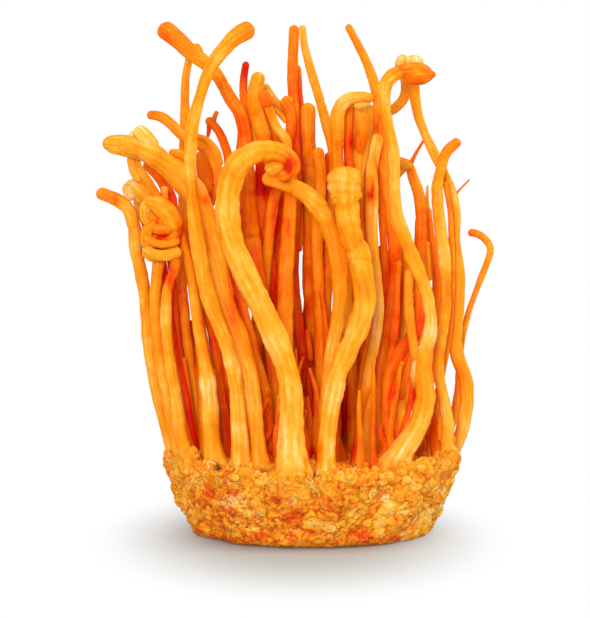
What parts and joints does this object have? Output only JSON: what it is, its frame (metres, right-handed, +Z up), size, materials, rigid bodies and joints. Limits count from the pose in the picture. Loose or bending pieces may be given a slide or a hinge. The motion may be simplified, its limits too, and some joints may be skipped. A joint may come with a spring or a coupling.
{
  "type": "cordyceps mushroom",
  "caption": "Cordyceps mushroom: a round cake of grain bound by the fungus, with long orange club-shaped stems that bend, hook and curl, rising from its top.",
  "frame": {"origin": "centre of the cake's flat base", "axes": "+Z up along the stems, -Y towards the side seen in the picture, +X to that viewer's right"},
  "size_m": [0.0877, 0.0633, 0.112],
  "materials": {
    "thick_stems": "satin",
    "thin_stems": "satin",
    "cake": "matte"
  },
  "bodies": {
    "root": {"arch_back_stem": "thin_stems", "arch_inner_stem": "thin_stems", "arch_stem": "thick_stems", "back_left_stem": "thin_stems", "back_middle_stem": "thin_stems", "back_right_stem": "thin_stems", "back_short_stem": "thin_stems", "back_tall_stem": "thin_stems", "bent_right_stem": "thin_stems", "broad_headed_stem": "thick_stems", "cake": "cake", "central_stem": "thin_stems", "coiled_stem": "thin_stems", "crossing_club_stem": "thin_stems", "far_right_hook_stem": "thin_stems", "fork_head_stem": "thin_stems", "forked_left_stem": "thin_stems", "gnarled_club_stem": "thin_stems", "gnarled_loop_stem": "thin_stems", "hooked_right_stem": "thick_stems", "inner_arch_stem": "thin_stems", "inner_right_stem": "thin_stems", "knobbed_left_stem": "thin_stems", "knot_back_stem": "thin_stems", "leaning_stem": "thick_stems", "left_gap_stem": "thin_stems", "left_middle_stem": "thin_stems", "left_tall_pair_stem": "thin_stems", "left_thread_stem": "thin_stems", "long_left_stem": "thick_stems", "low_left_stem": "thin_stems", "low_right_stem": "thin_stems", "lower_twig_stem": "thin_stems", "middle_slim_stem": "thin_stems", "outer_left_stem": "thin_stems", "outer_right_slim_stem": "thin_stems", "outer_right_stem": "thin_stems", "pale_left_stem": "thick_stems", "rear_left_stem": "thin_stems", "rear_middle_stem": "thin_stems", "rear_right_stem": "thin_stems", "red_tip_stem": "thin_stems", "right_gap_stem": "thin_stems", "right_tall_pair_stem": "thin_stems", "ringed_stem": "thick_stems", "shaded_left_stem": "thin_stems", "short_dark_stem": "thin_stems", "short_fork_stem": "thin_stems", "shoulder_stem": "thin_stems", "side_club_stem": "thin_stems", "slim_curved_stem": "thin_stems", "slim_left_stem": "thin_stems", "small_arch_stem": "thin_stems", "small_hook_stem": "thin_stems", "straight_right_stem": "thin_stems", "stub_stem": "thick_stems", "upper_twig_stem": "thin_stems", "upright_stem": "thick_stems", "wavy_right_stem": "thin_stems"}
  },
  "joints": []
}
